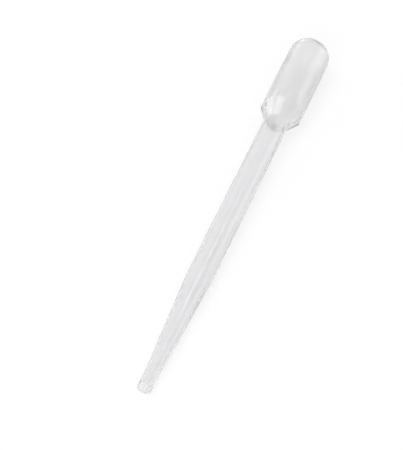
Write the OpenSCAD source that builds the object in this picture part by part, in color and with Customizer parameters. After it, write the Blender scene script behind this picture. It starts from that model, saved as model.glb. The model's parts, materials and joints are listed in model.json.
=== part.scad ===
// A disposable transfer pipette, blow-moulded in one piece from soft translucent plastic:
// a squeeze bulb with a domed end, a ribbed shoulder with flat panels, a straight stem
// and a long taper to an open tip. It lies on its side, as it comes to rest.
// +X runs from the tip to the bulb, and the origin is the middle of its footprint.

/* [Overall] */
// Length from the end of the tip to the top of the dome
overall_l = 155; // [125:1:200]

/* [Bulb] */
// Outer diameter of the squeeze bulb
bulb_d = 13.2; // [11:0.1:16]
// Length of the bulb, from the top of the dome to the edge of the shoulder
bulb_l = 33.2; // [26:0.1:42]
// How much wider the arc over the dome's top is than the bulb, and how much tighter its side arc
dome_flatness = 1; // [0.2:0.1:2]
// Wall of the bulb
bulb_wall = 0.45; // [0.3:0.05:0.7]

/* [Shoulder] */
// Length of the cone between the bulb and the stem
shoulder_l = 5.5; // [3.5:0.1:8]
// Wall of the shoulder
shoulder_wall = 0.6; // [0.4:0.05:0.8]
// Number of ribs around the shoulder, with a flat panel between each two
rib_count = 10; // [8:1:12]
// Width of a rib
rib_w = 1; // [0.6:0.1:1.4]
// How far a rib stands proud at the edge of the shoulder
rib_rise = 0.2; // [0.1:0.05:0.8]
// Length over which a rib rises out of the wall of the bulb
rib_run = 4.5; // [2.5:0.1:6]
// Depth of a panel's middle at the bulb's end of the shoulder
panel_depth_top = 0.25; // [0.1:0.05:0.35]
// Depth of a panel's middle at the stem's end of the shoulder
panel_depth_end = 0.12; // [0.05:0.01:0.2]

/* [Stem] */
// Outer diameter of the stem
stem_d = 7.8; // [6.5:0.1:9.4]
// Wall of the stem
stem_wall = 0.55; // [0.4:0.05:0.8]

/* [Tip] */
// Length of the taper between the stem and the straight tip
taper_l = 40; // [28:1:50]
// Length of the straight tip
tip_l = 6; // [4:0.5:10]
// Outer diameter of the tip
tip_d = 4.2; // [3.4:0.1:5.2]
// Diameter of the hole through the tip
tip_bore_d = 3.2; // [2.4:0.1:4]

/* [Softened edges] */
// Radius at the edge between the bulb and the shoulder
shoulder_round = 0.6; // [0.1:0.1:1.2]
// Radius in the corner between the shoulder and the stem
neck_round = 0.8; // [0.1:0.1:1.5]
// Radius of the bends at both ends of the taper
taper_round = 60; // [10:5:100]
// Radius on the proud corner of a rib
rib_round = 0.4; // [0.1:0.1:0.6]
// Radius on the outer edge of the open end, up to half of its wall
mouth_round = 0.2; // [0.05:0.05:0.3]

/* [Hidden] */
$fn = 96;
arc_steps = 8;
past = 1;
bulb_r = bulb_d / 2;
stem_r = stem_d / 2;
tip_r = tip_d / 2;
bore_r = tip_bore_d / 2;
mouth_r = min(mouth_round, (tip_r - bore_r) / 2);

// Places along the pipette, from the end of the tip
taper_z = tip_l + taper_l;
edge_z = overall_l - bulb_l;
neck_z = edge_z - shoulder_l;

// The dome is a wide arc over the top and a tighter arc down to the side of the bulb
crown_r = bulb_r + dome_flatness;
side_r = bulb_r - dome_flatness;
crown_z = overall_l - crown_r;
dome_z = crown_z + sqrt(pow(crown_r - side_r, 2) - pow(bulb_r - side_r, 2));
crown_angle = atan2(dome_z - crown_z, bulb_r - side_r);

// Inside, the shoulder's corners shift along the axis with the walls
shoulder_angle = atan2(bulb_r - stem_r, shoulder_l);
inner_neck_round = neck_round + shoulder_wall;
inner_edge_z = edge_z + (shoulder_wall / cos(shoulder_angle) - bulb_wall) / tan(shoulder_angle);
inner_neck_z = neck_z + (shoulder_wall / cos(shoulder_angle) - stem_wall) / tan(shoulder_angle);

// A panel is flat, and leans from its depth where the stem starts to widen to its depth at the edge
panel_z = neck_z - neck_round * tan(shoulder_angle / 2);
inner_panel_z = inner_neck_z - inner_neck_round * tan(shoulder_angle / 2);
panel_end_r = stem_r - panel_depth_end;
panel_angle = atan2(bulb_r - panel_depth_top - panel_end_r, edge_z - panel_z);

// A rib leans from the neck to its proud corner, and both its ends run out inside the wall
half_pitch = 180 / rib_count;
rib_angle = atan2(bulb_r + rib_rise - stem_r, shoulder_l);
rib_end_z = neck_z - stem_wall / 2 / tan(rib_angle);

function unit(v) = v / norm(v);
function without_first(list) = [for (i = [1:len(list) - 1]) list[i]];

function arc(centre, r, from, to) =
    [for (i = [0:arc_steps]) let (a = from + (to - from) * i / arc_steps)
        centre + r * [cos(a), sin(a)]];

// An arc of radius r in the corner at b, tangent to the lines to a and c
function corner_arc(a, b, c, r) =
    let (
        u = unit(a - b),
        v = unit(c - b),
        half = acos(u * v) / 2,
        centre = b + unit(u + v) * r / sin(half),
        start = b + u * r / tan(half) - centre,
        end = b + v * r / tan(half) - centre,
        from = atan2(start.y, start.x),
        turn = (atan2(end.y, end.x) - from + 540) % 360 - 180
    )
    arc(centre, r, from, from + turn);

// A path with an arc in each of its inner corners, one radius for each
function rounded(path, radii) = concat(
    [path[0]],
    [for (i = [1:len(path) - 2], p = corner_arc(path[i - 1], path[i], path[i + 1], radii[i - 1])) p],
    [path[len(path) - 1]]);

// Half of the dome's section from the bulb's side to the top, drawn in by a wall
function dome(wall) = concat(
    without_first(arc([bulb_r - side_r, dome_z], side_r - wall, 0, crown_angle)),
    without_first(arc([0, crown_z], crown_r - wall, crown_angle, 90)));

outer_half = concat(
    rounded(
        [[0, 0], [tip_r, 0], [tip_r, tip_l], [stem_r, taper_z], [stem_r, neck_z],
         [bulb_r, edge_z], [bulb_r, dome_z]],
        [mouth_r, taper_round, taper_round, neck_round, shoulder_round]),
    dome(0));

inner_half = concat(
    [[0, -past], [bore_r, -past], [bore_r, tip_l]],
    rounded(
        [[stem_r - stem_wall, taper_z], [stem_r - stem_wall, inner_neck_z],
         [bulb_r - bulb_wall, inner_edge_z], [bulb_r - bulb_wall, dome_z]],
        [inner_neck_round, shoulder_round / 2]),
    dome(bulb_wall));

rib_side = rounded(
    [[bulb_r - bulb_wall / 2, edge_z + rib_run], [bulb_r + rib_rise, edge_z],
     [stem_r - stem_wall / 2, rib_end_z]],
    [rib_round]);

// What could touch the floor: the round outline, and the two ribs beside the lowest panel
feet = concat(
    outer_half,
    [for (p = rib_side) [p.x * cos(half_pitch) + rib_w / 2 * sin(half_pitch), p.y]]);

// It rests on one foot at each side of its balance, under the lowest line that joins two
balance_z = (taper_z + neck_z) / 2;
function line_at_balance(a, b) = a.x + (b.x - a.x) * (balance_z - a.y) / (b.y - a.y);
rests = [for (a = feet, b = feet) if (a.y < balance_z && b.y > balance_z)
    [line_at_balance(a, b), a, b]];
lowest = max([for (r = rests) r[0]]);
rest = [for (r = rests) if (r[0] == lowest) r][0];
rest_tilt = atan2(rest[2].x - rest[1].x, rest[2].y - rest[1].y);
rest_lift = rest[1].x * cos(rest_tilt) - rest[1].y * sin(rest_tilt);

// The footprint's ends lie on the outline's rings, which lean with the axis
tip_end_x = min([for (p = outer_half) p.y * cos(rest_tilt) - p.x * sin(rest_tilt)]);
dome_end_x = max([for (p = outer_half) p.y * cos(rest_tilt) + p.x * sin(rest_tilt)]);

// Lays a piece that stands on the end of its tip down on its side
module at_rest() {
    translate([-(tip_end_x + dome_end_x) / 2, 0, rest_lift])
        rotate([0, 90 - rest_tilt, 0])
            children();
}

module around_shoulder(first_angle) {
    for (i = [0:rib_count - 1])
        rotate(first_angle + i * 2 * half_pitch)
            children();
}

// Draws an outline of distances from the axis and heights, as thick as a width
module upright(width) {
    rotate([90, 0, 0])
        linear_extrude(width, center = true)
            children();
}

// What is cut off outside a panel, from a height up, with the panel drawn in by a wall
module panel_cut(from_z, wall) {
    low_r = panel_end_r + (from_z - panel_z) * tan(panel_angle) - wall / cos(panel_angle);
    high_r = bulb_r + past;
    high_z = from_z + (high_r - low_r) / tan(panel_angle);
    upright(bulb_r)
        polygon([[low_r, from_z], [high_r, high_z], [high_r, from_z]]);
}

// Under its outer side, a rib is bedded in the middle of the walls
module rib() {
    bed = [[stem_r - stem_wall / 2, neck_z], [bulb_r - shoulder_wall / 2, edge_z]];
    upright(rib_w)
        polygon(concat(rib_side, bed));
}

module body() {
    difference() {
        rotate_extrude()
            polygon(outer_half);
        around_shoulder(0)
            panel_cut(panel_z, 0);
    }
    around_shoulder(half_pitch)
        rib();
}

module cavity() {
    difference() {
        rotate_extrude()
            polygon(inner_half);
        around_shoulder(0)
            panel_cut(inner_panel_z, shoulder_wall);
    }
}

module pipette() {
    color([0.89, 0.9, 0.92])
        at_rest()
            difference() {
                body();
                cavity();
            }
}

pipette();
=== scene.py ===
import json
import math

import bmesh
import bpy
from bpy.props import FloatProperty, FloatVectorProperty, IntProperty, PointerProperty
from mathutils import Matrix, Vector


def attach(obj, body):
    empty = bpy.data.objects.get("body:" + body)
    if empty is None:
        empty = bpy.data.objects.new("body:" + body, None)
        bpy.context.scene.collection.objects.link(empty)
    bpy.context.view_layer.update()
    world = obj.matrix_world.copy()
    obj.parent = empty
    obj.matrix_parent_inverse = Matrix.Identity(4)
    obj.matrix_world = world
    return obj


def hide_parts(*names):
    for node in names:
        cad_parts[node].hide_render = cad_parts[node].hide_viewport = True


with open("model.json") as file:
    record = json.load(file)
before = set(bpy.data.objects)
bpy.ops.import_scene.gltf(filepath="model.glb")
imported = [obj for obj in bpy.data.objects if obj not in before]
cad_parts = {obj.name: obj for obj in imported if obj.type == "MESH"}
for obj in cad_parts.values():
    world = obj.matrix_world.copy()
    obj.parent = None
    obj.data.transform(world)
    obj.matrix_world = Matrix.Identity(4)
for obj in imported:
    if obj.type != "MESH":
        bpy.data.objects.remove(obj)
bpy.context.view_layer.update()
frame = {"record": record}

bl_info = {
    "name": "Dropper Pipette",
    "version": (1, 0, 0),
    "blender": (4, 5, 0),
    "location": "View3D > Sidebar > Pipette",
    "description": "Builds a blow-moulded dropper pipette and the pale stage that it lies on",
    "category": "Add Mesh",
}

MM = 0.001
TINY = 1e-6  # in metres, and less than any step of the mesh
MOUNTS = {mount["name"]: mount for mount in frame["record"]["mounts"]}

# The shell
SKIN = 0.005 * MM  # how far the outer skin stays inside the solid that it stands for
FINE_STEP = 0.13 * MM  # between the outline's points across the ribs and panels
COARSE_STEP = 3 * MM  # between them where the sides run straight
COLUMNS_PER_RIB = 24  # steps round the axis from one rib to the next
PANEL_RETURN = -1.5  # slope of a panel's turned-up end at the stem
RIB_FLANK = 3.0  # slope of a rib's flanks
LUMPS_AROUND = 1.3  # radius of the circle on which the wall's noise is read
LUMPS_ALONG = 60.0  # how fast that noise changes along the axis, for each metre
LUMPS_END = 2 * MM  # distance from the axis where the lumps start to fade, at the dome's top

# The plastic
MIX_A, MIX_B, MIX_RESULT = 6, 7, 2  # a Mix node's sockets for colours, which share their names
CLOUDINESS = 0.08  # how much the plastic's clearness and haze vary
DULLER = 0.96  # its colour where it is dullest, as a share of the full colour

# The stage
BOUNCES = 32  # light crosses the clear walls many times before it gets out
LAMP_DISTANCE = 1.5
BACKDROP_EVEN = 0.4  # share of the backdrop's height that is evenly white
GAP_FADE = math.radians(5)


def mount_size(name, key):
    """A size of one of the record's mounts, in metres."""
    return MOUNTS[name]["dims"][key] * MM


# ---------------------------------------------------------------------------
# Sizes and colours that a user would change
# ---------------------------------------------------------------------------


def length(name, description, default):
    """A property for a length in metres."""
    return FloatProperty(
        name=name, description=description, default=default, min=0.0,
        subtype="DISTANCE", unit="LENGTH", precision=5)


class PipetteShellSizes(bpy.types.PropertyGroup):
    """Sizes of the blown shell"""

    overall: length("Overall Length", "From the end of the tip to the top of the dome", 155 * MM)
    bulb_d: length("Bulb Diameter", "Outer diameter of the squeeze bulb", 13.2 * MM)
    bulb: length("Bulb Length", "From the top of the dome to the edge of the shoulder", 33.2 * MM)
    dome_flatness: length(
        "Dome Flatness", "How much wider the arc over the dome's top is than the bulb", 1 * MM)
    bulb_wall: length("Bulb Wall", "Wall of the bulb", 0.45 * MM)
    shoulder: length("Shoulder Length", "Length of the cone between the bulb and the stem", 5.5 * MM)
    shoulder_wall: length("Shoulder Wall", "Wall of the shoulder", 0.6 * MM)
    stem_d: length(
        "Stem Diameter", "Outer diameter of the stem", 2 * mount_size("stem_outside", "r_mm"))
    stem_wall: length("Stem Wall", "Wall of the stem", 0.55 * MM)
    taper: length("Taper Length", "From the stem to the straight tip", 40 * MM)
    tip: length("Tip Length", "Length of the straight tip", mount_size("tip_bore", "length_mm"))
    tip_d: length("Tip Diameter", "Outer diameter of the tip", 2 * mount_size("tip_outside", "r_mm"))
    bore_d: length("Bore Diameter", "Hole through the tip", 2 * mount_size("tip_bore", "r_mm"))
    edge_round: length(
        "Shoulder Radius", "Radius at the edge between the bulb and the shoulder", 0.6 * MM)
    neck_round: length(
        "Neck Radius", "Radius in the corner between the shoulder and the stem", 0.8 * MM)
    taper_round: length("Taper Radius", "Radius of the bends at both ends of the taper", 60 * MM)
    mouth_round: length("Mouth Radius", "Radius on the outer edge of the open end", 0.2 * MM)
    unevenness: FloatProperty(
        name="Wall Unevenness", description="How far the blown wall swells and thins, as a share of it",
        default=0.2, min=0.0, max=0.5, subtype="FACTOR")


class PipetteRibSizes(bpy.types.PropertyGroup):
    """Sizes of the shoulder's ribs and panels"""

    count: IntProperty(name="Ribs", description="Number of ribs around the shoulder", default=10, min=3)
    width: length("Rib Width", "Width of a rib", 1 * MM)
    rise: length("Rib Rise", "How far a rib stands proud at the edge of the shoulder", 0.2 * MM)
    run: length("Rib Run", "Length over which a rib rises out of the bulb", 4.5 * MM)
    depth_top: length("Panel Depth, Bulb End", "Depth of a panel's middle at the bulb's end", 0.25 * MM)
    depth_end: length("Panel Depth, Stem End", "Depth of a panel's middle at the stem's end", 0.12 * MM)
    softness: length("Softness", "Radius that the ribs' and panels' edges are blown to", 0.12 * MM)


class PipettePlastic(bpy.types.PropertyGroup):
    """Natural low-density polyethylene"""

    colour: FloatVectorProperty(
        name="Colour", description="Colour of the plastic where it scatters the light",
        default=(0.988, 0.986, 0.992), subtype="COLOR", min=0.0, max=1.0)
    depth_tint: FloatVectorProperty(
        name="Tint in Depth", description="Colour that light takes on its way along the wall",
        default=(0.76, 0.765, 0.785), subtype="COLOR", min=0.0, max=1.0)
    density: FloatProperty(
        name="Density", description="How fast the plastic takes up light, for each metre",
        default=60.0, min=0.0)
    clearness: FloatProperty(
        name="Clearness", description="Share of the light that goes through, and isn't scattered back",
        default=0.99, min=0.0, max=1.0, subtype="FACTOR")
    cut_milk: FloatProperty(
        name="Cut Milkiness", description="How much less clear the cut face of the open end is",
        default=0.95, min=0.0, max=1.0, subtype="FACTOR")
    cut_depth: length("Cut Depth", "How far in from the cut face the plastic is milky", 0.3 * MM)
    haze: FloatProperty(
        name="Haze", description="Roughness of the stem's and the shoulder's surface",
        default=0.18, min=0.0, max=1.0, subtype="FACTOR")
    bulb_haze: FloatProperty(
        name="Bulb Haze", description="Roughness of the bulb's surface, which is blown out the most",
        default=0.21, min=0.0, max=1.0, subtype="FACTOR")
    ior: FloatProperty(
        name="Refraction", description="Index of refraction of the plastic",
        default=1.51, min=1.0, max=2.0)
    line_height: length("Drawn Lines", "Height of the fine lines along the tube", 0.006 * MM)
    peel_height: length("Orange Peel", "Height of the moulded surface's unevenness", 0.01 * MM)


class PipetteStage(bpy.types.PropertyGroup):
    """Floor, softboxes and camera"""

    floor_size: length("Floor Size", "Side of the square floor", 4.0)
    floor_colour: FloatVectorProperty(
        name="Floor Colour", description="Colour of the floor",
        default=(0.28, 0.28, 0.28), subtype="COLOR", min=0.0, max=1.0)
    floor_glow: FloatProperty(
        name="Floor Glow", description="How much brighter the floor looks than its light makes it",
        default=0.77, min=0.0)
    sky: FloatProperty(
        name="Sky", description="Strength of the world's even light", default=0.4, min=0.0)
    backdrop: FloatProperty(
        name="Backdrop", description="Height of the white backdrop, as the sine of its angle",
        default=0.85, min=0.0, max=1.0)
    gap_way: FloatVectorProperty(
        name="Gap Direction", description="Where the dark gap in the backdrop is, from the object",
        default=(0.97, -0.2, -0.1), subtype="DIRECTION")
    gap_angle: FloatProperty(
        name="Gap Angle", description="Angle from the middle of the gap to its edge",
        default=math.radians(20), min=math.radians(5), subtype="ANGLE", unit="ROTATION")
    top_light: FloatProperty(
        name="Top Softbox", description="Brightness of the softbox overhead",
        default=2.4, min=0.0)
    side_light: FloatProperty(
        name="Side Softbox", description="Brightness of the softbox at the left",
        default=1.8, min=0.0)
    right_light: FloatProperty(
        name="Right Softbox", description="Brightness of the low softbox at the right",
        default=0.7, min=0.0)
    front_light: FloatProperty(
        name="Front Softbox", description="Brightness of the low softbox at the front",
        default=2.6, min=0.0)
    dome_light: FloatProperty(
        name="Dome Lamp", description="Brightness of the small lamp that the dome mirrors",
        default=5.0, min=0.0)
    streak_light: FloatProperty(
        name="Streak Lamp", description="Brightness of the small lamp that the taper mirrors",
        default=6.0, min=0.0)
    azimuth: FloatProperty(
        name="Azimuth", description="Direction that the camera looks from, 0 for along +Y",
        default=math.radians(-70.4), subtype="ANGLE", unit="ROTATION")
    elevation: FloatProperty(
        name="Elevation", description="Height of the camera above the horizon",
        default=math.radians(42.4), subtype="ANGLE", unit="ROTATION")
    aim: FloatVectorProperty(
        name="Aim", description="Point on the floor that the camera looks at",
        default=(-6.2 * MM, 8.4 * MM, 0.0), subtype="TRANSLATION", unit="LENGTH", precision=5)
    distance: length("Distance", "From the camera to what it looks at", 748 * MM)
    lens: FloatProperty(
        name="Lens", description="Focal length, in millimetres, on a sensor of 36 mm",
        default=200.0, min=1.0)


# ---------------------------------------------------------------------------
# Node trees
# ---------------------------------------------------------------------------


class Field:
    """A number in a node tree. Python's own signs join fields with Math nodes."""

    def __init__(self, tree, socket):
        self.tree = tree
        self.socket = socket

    def math(self, operation, *others):
        return math_node(self.tree, operation, self, *others)

    def __add__(self, other):
        return self.math("ADD", other)

    def __sub__(self, other):
        return self.math("SUBTRACT", other)

    def __mul__(self, other):
        return self.math("MULTIPLY", other)

    def __rsub__(self, other):
        return math_node(self.tree, "SUBTRACT", other, self)

    def __truediv__(self, other):
        return self.math("DIVIDE", other)

    def __rtruediv__(self, other):
        return math_node(self.tree, "DIVIDE", other, self)


def math_node(tree, operation, *values):
    """A Math node with those values, as a field."""
    node = tree.nodes.new("ShaderNodeMath")
    node.operation = operation
    for plug, value in zip(node.inputs, values):
        connect(tree, value, plug)
    return Field(tree, node.outputs[0])


def connect(tree, value, plug):
    """Links a field or a socket to a node's input, or writes a plain value there."""
    if isinstance(value, Field):
        tree.links.new(value.socket, plug)
    elif isinstance(value, bpy.types.NodeSocket):
        tree.links.new(value, plug)
    else:
        plug.default_value = value


def add_node(tree, kind, inputs=(), **settings):
    """A new node with its settings and its inputs, which are named or counted."""
    node = tree.nodes.new(kind)
    for name, value in settings.items():
        setattr(node, name, value)
    for name, value in dict(inputs).items():
        connect(tree, value, node.inputs[name])
    return node


def panel_radius(z, across, inset, size):
    """How far out a panel lies: a flat that leans outwards, and turns up at the stem's end."""
    slope = (size["Bulb Radius"] - size["Panel Depth Top"] - size["Panel End Radius"]) / (
        size["Edge Height"] - size["Panel Height"])
    stretch = (slope * slope + 1.0).math("SQRT")
    rise = z - size["Panel Height"]
    flat = (rise * slope).math("SMOOTH_MAX", rise * PANEL_RETURN, size["Softness"])
    return (size["Panel End Radius"] + flat - inset * stretch) / across.math("COSINE")


def rib_radius(z, away, size):
    """How far out a rib reaches: up the cone to a crest, down into the bulb, and down its flanks."""
    crest = size["Bulb Radius"] + size["Rib Rise"]
    past_edge = z - size["Edge Height"]
    cone = size["Edge Height"] - size["Neck Height"]
    climb = crest + past_edge * (crest - size["Stem Radius"]) / cone
    along = past_edge / size["Rib Run"]
    curve = along.math("MAXIMUM", along.math("POWER", 3.0))
    dip = crest - (size["Rib Rise"] + size["Rib Root"]) * curve
    overhang = (away - size["Rib Width"] / 2.0).math("SMOOTH_MAX", 0.0, size["Softness"])
    return climb.math("SMOOTH_MIN", dip, size["Softness"] * 2.0) - overhang * RIB_FLANK


def shell_tree(sizes):
    """Spins an outline round the pipette's axis, and blows the ribs and panels into its shoulder."""
    tree = bpy.data.node_groups.new("Blown Shell", "GeometryNodeTree")
    tree.is_modifier = True
    face = tree.interface
    face.new_socket("Outline", in_out="INPUT", socket_type="NodeSocketGeometry")
    for name in ("Columns", "Rib Count"):
        face.new_socket(name, in_out="INPUT", socket_type="NodeSocketInt")
    for name in sizes:
        face.new_socket(name, in_out="INPUT", socket_type="NodeSocketFloat").subtype = "DISTANCE"
    face.new_socket("Unevenness", in_out="INPUT", socket_type="NodeSocketFloat").subtype = "FACTOR"
    face.new_socket("Material", in_out="INPUT", socket_type="NodeSocketMaterial")
    face.new_socket("Shell", in_out="OUTPUT", socket_type="NodeSocketGeometry")

    given = tree.nodes.new("NodeGroupInput").outputs
    size = {name: Field(tree, given[name]) for name in ("Columns", "Rib Count", "Unevenness", *sizes)}

    # A grid with a row for each point of the outline and a column for each step round the axis
    rows = Field(tree, add_node(
        tree, "GeometryNodeAttributeDomainSize", {"Geometry": given["Outline"]}).outputs["Point Count"])
    grid = add_node(tree, "GeometryNodeMeshGrid", {
        "Size X": 1.0, "Size Y": 1.0, "Vertices X": rows, "Vertices Y": size["Columns"] + 1.0})
    place = add_node(tree, "ShaderNodeSeparateXYZ", {"Vector": grid.outputs["UV Map"]})
    row = (Field(tree, place.outputs["X"]) * (rows - 1.0)).math("ROUND")
    turn = Field(tree, place.outputs["Y"])

    def from_outline(kind, value):
        node = add_node(tree, "GeometryNodeSampleIndex", data_type=kind, domain="POINT")
        connect(tree, given["Outline"], node.inputs["Geometry"])
        connect(tree, value, node.inputs["Value"])
        connect(tree, row, node.inputs["Index"])
        return node.outputs["Value"]

    position = add_node(tree, "GeometryNodeInputPosition").outputs["Position"]
    point = add_node(tree, "ShaderNodeSeparateXYZ", {"Vector": from_outline("FLOAT_VECTOR", position)})
    radius = Field(tree, point.outputs["X"])
    z = Field(tree, point.outputs["Z"])
    named = add_node(tree, "GeometryNodeInputNamedAttribute", {"Name": "inset"}, data_type="FLOAT")
    inset = Field(tree, from_outline("FLOAT", named.outputs["Attribute"]))

    # Angles from the middle of the nearest panel, and distances from the nearest rib
    pitch = math.tau / size["Rib Count"]
    pitches = turn * size["Rib Count"]
    off_panel = (pitches - pitches.math("ROUND")) * pitch
    away = radius * (pitch / 2.0 - off_panel.math("ABSOLUTE")).math("SINE")

    pressed = radius.math("SMOOTH_MIN", panel_radius(z, off_panel, inset, size), size["Softness"])
    proud = pressed.math("SMOOTH_MAX", rib_radius(z, away, size), size["Softness"])
    outside = inset.math("LESS_THAN", TINY)
    shaped = pressed + (proud - pressed) * outside

    # The inner skin swells and thins along the wall
    angle = turn * math.tau
    lump = add_node(tree, "ShaderNodeCombineXYZ", {
        "X": angle.math("COSINE") * LUMPS_AROUND, "Y": angle.math("SINE") * LUMPS_AROUND,
        "Z": z * LUMPS_ALONG})
    noise = add_node(tree, "ShaderNodeTexNoise", {
        "Vector": lump.outputs["Vector"], "Scale": 1.0, "Detail": 1.0}, noise_dimensions="3D")
    swell = (Field(tree, noise.outputs[0]) - 0.5) * 2.0 * size["Unevenness"]
    off_axis = (radius / LUMPS_END).math("MINIMUM", 1.0)
    shaped = shaped + swell * inset * off_axis

    spun = add_node(tree, "ShaderNodeCombineXYZ", {
        "X": shaped * angle.math("COSINE"), "Y": shaped * angle.math("SINE"), "Z": z})
    moved = add_node(tree, "GeometryNodeSetPosition", {
        "Geometry": grid.outputs["Mesh"], "Position": spun.outputs["Vector"]})
    closed = add_node(tree, "GeometryNodeMergeByDistance", {
        "Geometry": moved.outputs["Geometry"], "Distance": TINY})
    smooth = add_node(tree, "GeometryNodeSetShadeSmooth", {"Geometry": closed.outputs["Geometry"]})
    real = add_node(tree, "GeometryNodeRealizeInstances", {"Geometry": smooth.outputs["Geometry"]})
    painted = add_node(tree, "GeometryNodeSetMaterial", {
        "Geometry": real.outputs["Geometry"], "Material": given["Material"]})
    result = tree.nodes.new("NodeGroupOutput")
    connect(tree, painted.outputs["Geometry"], result.inputs["Shell"])
    return tree


def run_tree(piece, tree, values):
    """Gives an object's mesh to a tree, and returns the plain mesh that comes out."""
    modifier = piece.modifiers.new(tree.name, "NODES")
    modifier.node_group = tree
    for item in tree.interface.items_tree:
        if item.in_out == "INPUT" and item.name in values:
            modifier[item.identifier] = values[item.name]
    graph = bpy.context.evaluated_depsgraph_get()
    mesh = bpy.data.meshes.new_from_object(piece.evaluated_get(graph), depsgraph=graph)
    piece.modifiers.remove(modifier)
    return mesh


# ---------------------------------------------------------------------------
# The outline
# ---------------------------------------------------------------------------


def arc(centre, radius, start, end, steps=12):
    """Points on an arc, from one angle to another."""
    angles = [start + (end - start) * i / steps for i in range(steps + 1)]
    x, y = centre
    return [Vector((x + radius * math.cos(a), y + radius * math.sin(a))) for a in angles]


def corner_arc(before, corner, after, radius):
    """An arc in a corner, tangent to the lines to the points before and after it."""
    u = (before - corner).normalized()
    v = (after - corner).normalized()
    half = u.angle(v) / 2
    centre = corner + (u + v).normalized() * radius / math.sin(half)
    start = corner + u * radius / math.tan(half) - centre
    end = corner + v * radius / math.tan(half) - centre
    first = math.atan2(start.y, start.x)
    turn = (math.atan2(end.y, end.x) - first + math.pi) % math.tau - math.pi
    return arc(centre, radius, first, first + turn)


def rounded(path, radii):
    """A path with an arc in each of its inner corners."""
    path = [Vector(point) for point in path]
    inner = [corner_arc(*path[i:i + 3], radii[i]) for i in range(len(path) - 2)]
    return [path[0]] + [point for bend in inner for point in bend] + [path[-1]]


def divided(path, longest):
    """The same path with its long stretches cut into steps, as short as longest gives at a height."""
    points = [path[0]]
    for start, end in zip(path, path[1:]):
        steps = max(1, math.ceil((end - start).length / longest((start.y + end.y) / 2)))
        points += [start.lerp(end, i / steps) for i in range(1, steps + 1)]
    return points


class Outline:
    """Half of the shell's section: distances from the axis, and heights above the end of the tip."""

    def __init__(self, shell, ribs):
        self.shell = shell
        self.ribs = ribs
        self.bulb_r = shell.bulb_d / 2 - SKIN
        self.stem_r = shell.stem_d / 2 - SKIN
        self.tip_r = shell.tip_d / 2 - SKIN
        self.bore_r = shell.bore_d / 2
        self.lip_r = (self.tip_r + self.bore_r) / 2
        self.taper_z = shell.tip + shell.taper
        self.edge_z = shell.overall - shell.bulb
        self.neck_z = self.edge_z - shell.shoulder
        self.shoulder_angle = math.atan2(self.bulb_r - self.stem_r, shell.shoulder)
        self.panel_z = self.neck_z - shell.neck_round * math.tan(self.shoulder_angle / 2)

    def dome(self, wall):
        """From the side of the bulb to the top: a tight arc, and then a wide one."""
        side_r = self.bulb_r - self.shell.dome_flatness
        crown_r = self.bulb_r + self.shell.dome_flatness
        crown_z = self.shell.overall - SKIN - crown_r
        side_x = self.bulb_r - side_r
        dome_z = crown_z + math.sqrt((crown_r - side_r) ** 2 - side_x ** 2)
        turn = math.atan2(dome_z - crown_z, side_x)
        side = arc((side_x, dome_z), side_r - wall, 0, turn, 20)
        crown = arc((0, crown_z), crown_r - wall, turn, math.pi / 2, 24)
        return side + crown[1:]

    def outside(self):
        """From the middle of the open end's lip to the top of the dome."""
        shell = self.shell
        dome = self.dome(0)
        path = rounded(
            [(self.lip_r, 0), (self.tip_r, 0), (self.tip_r, shell.tip), (self.stem_r, self.taper_z),
             (self.stem_r, self.neck_z), (self.bulb_r, self.edge_z), dome[0]],
            [shell.mouth_round, shell.taper_round, shell.taper_round,
             shell.neck_round, shell.edge_round])
        return divided(path, self.longest_step) + dome[1:]

    def inside(self):
        """From the middle of the lip, through the bore, to the underside of the dome."""
        shell = self.shell
        slant = shell.shoulder_wall / math.cos(self.shoulder_angle)
        lean = math.tan(self.shoulder_angle)
        edge_z = self.edge_z + (slant - shell.bulb_wall) / lean
        neck_z = self.neck_z + (slant - shell.stem_wall) / lean
        stem_r = self.stem_r - shell.stem_wall
        bulb_r = self.bulb_r - shell.bulb_wall
        dome = self.dome(shell.bulb_wall)
        path = rounded(
            [(self.lip_r, 0), (self.bore_r, 0), (self.bore_r, shell.tip), (stem_r, self.taper_z),
             (stem_r, neck_z), (bulb_r, edge_z), dome[0]],
            [shell.mouth_round / 4, shell.mouth_round, shell.taper_round,
             shell.neck_round + shell.shoulder_wall, shell.edge_round / 2])
        return divided(path, self.longest_step) + dome[1:]

    def longest_step(self, height):
        """Short steps across the ribs and panels, and long ones where the sides run straight."""
        margin = 1 * MM
        near = self.neck_z - margin < height < self.edge_z + self.ribs.run + margin
        return FINE_STEP if near else COARSE_STEP

    def mesh(self):
        """The whole section as a row of points, from the dome's top outside to its underside."""
        outside = self.outside()
        inside = self.inside()
        points = outside[::-1] + inside[1:]
        insets = [0.0] * len(outside) + [self.shell.shoulder_wall] * (len(inside) - 1)
        mesh = bpy.data.meshes.new("outline")
        edges = [(i, i + 1) for i in range(len(points) - 1)]
        mesh.from_pydata([(p.x, 0, p.y) for p in points], edges, [])
        mesh.attributes.new("inset", "FLOAT", "POINT").data.foreach_set("value", insets)
        return mesh


def at_rest():
    """From the axis that the outline stands on to the pipette as it lies on its side."""
    bore = MOUNTS["tip_bore"]
    along = -Vector(bore["axis"]).normalized()
    tip_end = Vector(bore["pos_m"]) - along * mount_size("tip_bore", "length_mm") / 2
    side = Vector((0, 1, 0))
    down = side.cross(along)
    turned = Matrix((down, side, along)).transposed().to_4x4()
    return Matrix.Translation(tip_end) @ turned


def check_closed(mesh):
    """Stops the script if a mesh has an open edge or faces inwards."""
    shape = bmesh.new()
    shape.from_mesh(mesh)
    loose = [edge for edge in shape.edges if len(edge.link_faces) != 2]
    volume = shape.calc_volume(signed=True)
    shape.free()
    if loose or volume <= 0:
        raise RuntimeError(f"{mesh.name} has {len(loose)} open edges and a volume of {volume}")


# ---------------------------------------------------------------------------
# Materials
# ---------------------------------------------------------------------------


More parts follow.
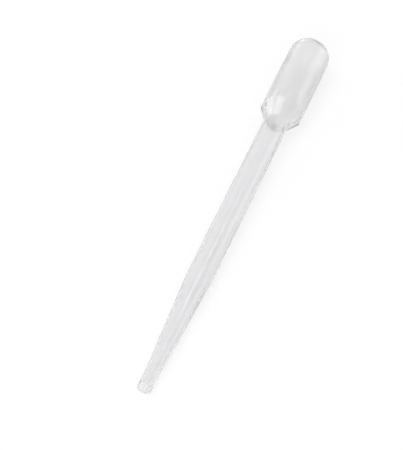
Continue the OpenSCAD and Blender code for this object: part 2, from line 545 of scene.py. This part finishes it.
def between(tree, value, low, high):
    """A field that climbs smoothly from 0 at one value to 1 at another."""
    node = add_node(
        tree, "ShaderNodeMapRange", {"Value": value, "From Min": low, "From Max": high},
        interpolation_type="SMOOTHSTEP")
    return Field(tree, node.outputs["Result"])


def stretched_noise(tree, place, grain, detail=2.0):
    """Noise with a size of grain across the pipette and along it, as a field from 0 to 1."""
    scale = (1 / grain[0], 1 / grain[0], 1 / grain[1])
    vector = add_node(tree, "ShaderNodeVectorMath", {0: place, 1: scale}, operation="MULTIPLY")
    node = add_node(tree, "ShaderNodeTexNoise", {
        "Vector": vector.outputs["Vector"], "Scale": 1.0, "Detail": detail})
    return Field(tree, node.outputs[0])


def plastic_material(plastic, outline):
    """Natural polyethylene: a clear wall with a fine haze and drawn lines, milky where it is cut."""
    material = bpy.data.materials.new("translucent_plastic")
    material.use_nodes = True
    tree = material.node_tree
    shader = tree.nodes["Principled BSDF"]

    # The pattern's Z runs along the pipette from the end of the tip
    upright = at_rest().inverted()
    place = add_node(tree, "ShaderNodeMapping", {
        "Vector": tree.nodes.new("ShaderNodeTexCoord").outputs["Object"],
        "Location": upright.translation, "Rotation": upright.to_euler()}).outputs["Vector"]
    height = Field(tree, add_node(tree, "ShaderNodeSeparateXYZ", {"Vector": place}).outputs["Z"])
    cloud = stretched_noise(tree, place, (5 * MM, 14 * MM))
    lines = stretched_noise(tree, place, (0.35 * MM, 30 * MM))
    peel = stretched_noise(tree, place, (1.1 * MM, 1.6 * MM), 1.0)

    duller = [DULLER * part for part in plastic.colour]
    shade = add_node(tree, "ShaderNodeMix", {
        "Factor": cloud, MIX_A: (*duller, 1), MIX_B: (*plastic.colour, 1)}, data_type="RGBA")
    connect(tree, shade.outputs[MIX_RESULT], shader.inputs["Base Color"])

    uncut = between(tree, height, 0.05 * MM, plastic.cut_depth)
    clear = (cloud - 0.5) * CLOUDINESS + plastic.clearness - (1.0 - uncut) * plastic.cut_milk
    connect(tree, clear, shader.inputs["Transmission Weight"])
    bulb = between(tree, height, outline.edge_z, outline.edge_z + 2 * outline.ribs.run)
    haze = bulb * (plastic.bulb_haze - plastic.haze) + plastic.haze
    uneven = (cloud - 0.5) * CLOUDINESS + (lines - 0.5) * CLOUDINESS
    connect(tree, uneven + haze, shader.inputs["Roughness"])
    shader.inputs["IOR"].default_value = plastic.ior

    relief = lines * plastic.line_height + peel * plastic.peel_height
    bump = add_node(tree, "ShaderNodeBump", {"Height": relief, "Distance": 1.0, "Strength": 1.0})
    connect(tree, bump.outputs["Normal"], shader.inputs["Normal"])

    inside = add_node(tree, "ShaderNodeVolumeAbsorption", {
        "Color": (*plastic.depth_tint, 1), "Density": plastic.density})
    connect(tree, inside.outputs["Volume"], tree.nodes["Material Output"].inputs["Volume"])
    return material


def seen_rays(tree):
    """Two fields: 1 where the camera looks straight, and 1 where it looks by way of the plastic."""
    path = tree.nodes.new("ShaderNodeLightPath").outputs
    straight = Field(tree, path["Is Camera Ray"])
    mirrored = Field(tree, path["Is Glossy Ray"])
    through = Field(tree, path["Is Transmission Ray"])
    return straight, mirrored.math("MAXIMUM", through)


def floor_material(stage):
    """A pale floor that shows a shadow, and is a little brighter to the eye than to the object."""
    material = bpy.data.materials.new("pale_floor")
    material.use_nodes = True
    tree = material.node_tree
    shader = tree.nodes["Principled BSDF"]
    shader.inputs["Base Color"].default_value = (*stage.floor_colour, 1)
    shader.inputs["Roughness"].default_value = 0.9
    shader.inputs["Specular IOR Level"].default_value = 0.0
    straight, mirrored = seen_rays(tree)
    shader.inputs["Emission Color"].default_value = (1, 1, 1, 1)
    glow = straight.math("MAXIMUM", mirrored) * stage.floor_glow
    connect(tree, glow, shader.inputs["Emission Strength"])
    return material


def studio_world(stage):
    """Even, dim light from all sides, and a white backdrop with one dark gap in it."""
    world = bpy.data.worlds.new("studio")
    world.use_nodes = True
    tree = world.node_tree
    background = tree.nodes["Background"]
    direction = tree.nodes.new("ShaderNodeTexCoord").outputs["Generated"]
    height = Field(tree, add_node(tree, "ShaderNodeSeparateXYZ", {"Vector": direction}).outputs["Z"])
    above = between(tree, height, stage.backdrop * BACKDROP_EVEN, stage.backdrop)
    straight, mirrored = seen_rays(tree)
    white = straight.math("MAXIMUM", mirrored * (1.0 - above))
    background.inputs["Color"].default_value = (1, 1, 1, 1)
    light = white * (1.0 - stage.sky) + stage.sky

    # The dome's far edge mirrors the gap as a dark line
    toward = add_node(tree, "ShaderNodeVectorMath", {
        0: direction, 1: Vector(stage.gap_way).normalized()}, operation="DOT_PRODUCT").outputs["Value"]
    gap_edges = math.cos(stage.gap_angle + GAP_FADE), math.cos(stage.gap_angle - GAP_FADE)
    gap = between(tree, toward, *gap_edges)
    connect(tree, light * (1.0 - gap * (1.0 - straight)), background.inputs["Strength"])
    return world


# ---------------------------------------------------------------------------
# Operators
# ---------------------------------------------------------------------------


class PIPETTE_OT_blow_shell(bpy.types.Operator):
    """Build the blown shell: bulb, ribbed shoulder, stem, taper and open tip"""

    bl_idname = "pipette.blow_shell"
    bl_label = "Blow Shell"
    bl_options = {"REGISTER", "UNDO"}

    def execute(self, context):
        scene = context.scene
        outline = Outline(scene.pipette_shell, scene.pipette_ribs)
        ribs = scene.pipette_ribs
        sizes = {
            "Bulb Radius": outline.bulb_r,
            "Stem Radius": outline.stem_r,
            "Edge Height": outline.edge_z,
            "Neck Height": outline.neck_z,
            "Panel Height": outline.panel_z,
            "Panel End Radius": outline.stem_r - ribs.depth_end,
            "Panel Depth Top": ribs.depth_top,
            "Rib Width": ribs.width,
            "Rib Rise": ribs.rise,
            "Rib Run": ribs.run,
            "Rib Root": scene.pipette_shell.bulb_wall / 2,
            "Softness": ribs.softness,
        }
        values = {
            "Columns": COLUMNS_PER_RIB * ribs.count,
            "Rib Count": ribs.count,
            "Unevenness": scene.pipette_shell.unevenness,
            "Material": plastic_material(scene.pipette_plastic, outline),
            **sizes,
        }
        shell = bpy.data.objects.new("pipette_shell", outline.mesh())
        scene.collection.objects.link(shell)
        blown = run_tree(shell, shell_tree(sizes), values)
        blown.name = "pipette_shell"
        blown.transform(at_rest())
        check_closed(blown)
        shell.data = blown
        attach(shell, "root")
        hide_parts("pipette")
        return {"FINISHED"}


class PIPETTE_OT_set_stage(bpy.types.Operator):
    """Set up the floor, the lamps, the world and the camera"""

    bl_idname = "pipette.set_stage"
    bl_label = "Set Stage"
    bl_options = {"REGISTER", "UNDO"}

    def execute(self, context):
        scene = context.scene
        stage = scene.pipette_stage
        scene.view_settings.view_transform = "Standard"
        scene.cycles.max_bounces = BOUNCES
        scene.cycles.glossy_bounces = BOUNCES
        scene.cycles.transmission_bounces = BOUNCES

        floor = bpy.data.objects.new("floor", bpy.data.meshes.new("floor"))
        half = stage.floor_size / 2
        corners = [(-half, -half, 0), (half, -half, 0), (half, half, 0), (-half, half, 0)]
        floor.data.from_pydata(corners, [], [(0, 1, 2, 3)])
        floor.data.materials.append(floor_material(stage))
        scene.collection.objects.link(floor)

        scene.world = studio_world(stage)
        self.add_softbox("top_softbox", (-0.12, 0.18, 0.97), (0.8, 0.8), stage.top_light)
        self.add_softbox("side_softbox", (0.08, 0.9, 0.42), (0.7, 0.6), stage.side_light)
        self.add_softbox("right_softbox", (0.7, -0.68, 0.22), (1.0, 0.6), stage.right_light)
        front = self.add_softbox("front_softbox", (-0.93, -0.12, 0.35), (1.4, 1.2), stage.front_light)
        self.add_softbox("dome_lamp", (0.84, 0.49, 0.21), (0.2, 0.2), stage.dome_light)
        self.add_softbox("streak_lamp", (0.57, -0.14, 0.81), (0.2, 0.3), stage.streak_light)

        # The front softbox lights the milky cut face, and the dome would mirror it as a glare
        front.visible_glossy = False
        front.visible_transmission = False
        self.add_camera(stage)
        return {"FINISHED"}

    def add_softbox(self, name, direction, size, brightness):
        """A flat lamp that faces the object from a direction."""
        lamp = bpy.data.lights.new(name, "AREA")
        lamp.shape = "RECTANGLE"
        lamp.size, lamp.size_y = size
        lamp.energy = brightness * math.pi * size[0] * size[1]
        direction = Vector(direction).normalized()
        holder = bpy.data.objects.new(name, lamp)
        holder.location = direction * LAMP_DISTANCE
        holder.rotation_mode = "QUATERNION"
        holder.rotation_quaternion = direction.to_track_quat("Z", "Y")
        bpy.context.scene.collection.objects.link(holder)
        return holder

    def add_camera(self, stage):
        """The camera, turned to its aim."""
        camera = bpy.data.objects.new("camera", bpy.data.cameras.new("camera"))
        camera.data.lens = stage.lens
        turn, tilt = stage.azimuth, stage.elevation
        sideways = math.cos(tilt)
        back = Vector((math.sin(turn) * sideways, -math.cos(turn) * sideways, math.sin(tilt)))
        camera.location = Vector(stage.aim) + back * stage.distance
        camera.rotation_mode = "QUATERNION"
        camera.rotation_quaternion = back.to_track_quat("Z", "Y")
        camera.data.clip_start = 0.01
        camera.data.clip_end = 20
        bpy.context.scene.collection.objects.link(camera)
        bpy.context.scene.camera = camera


class PIPETTE_PT_panel(bpy.types.Panel):
    """Sizes, finish and stage of the pipette"""

    bl_label = "Pipette"
    bl_idname = "PIPETTE_PT_panel"
    bl_space_type = "VIEW_3D"
    bl_region_type = "UI"
    bl_category = "Pipette"

    def draw(self, context):
        scene = context.scene
        groups = [
            ("Shell", scene.pipette_shell, "pipette.blow_shell"),
            ("Ribs", scene.pipette_ribs, None),
            ("Plastic", scene.pipette_plastic, None),
            ("Stage", scene.pipette_stage, "pipette.set_stage"),
        ]
        for title, group, operator in groups:
            box = self.layout.box()
            box.label(text=title)
            for name in group.__annotations__:
                box.prop(group, name)
            if operator:
                box.operator(operator)


GROUPS = {
    "pipette_shell": PipetteShellSizes,
    "pipette_ribs": PipetteRibSizes,
    "pipette_plastic": PipettePlastic,
    "pipette_stage": PipetteStage,
}
CLASSES = (*GROUPS.values(), PIPETTE_OT_blow_shell, PIPETTE_OT_set_stage, PIPETTE_PT_panel)


def register():
    for kind in CLASSES:
        bpy.utils.register_class(kind)
    for name, group in GROUPS.items():
        setattr(bpy.types.Scene, name, PointerProperty(type=group))


def unregister():
    for name in GROUPS:
        delattr(bpy.types.Scene, name)
    for kind in reversed(CLASSES):
        bpy.utils.unregister_class(kind)


def main():
    register()
    bpy.ops.pipette.blow_shell()
    bpy.ops.pipette.set_stage()


if __name__ == "__main__":
    main()
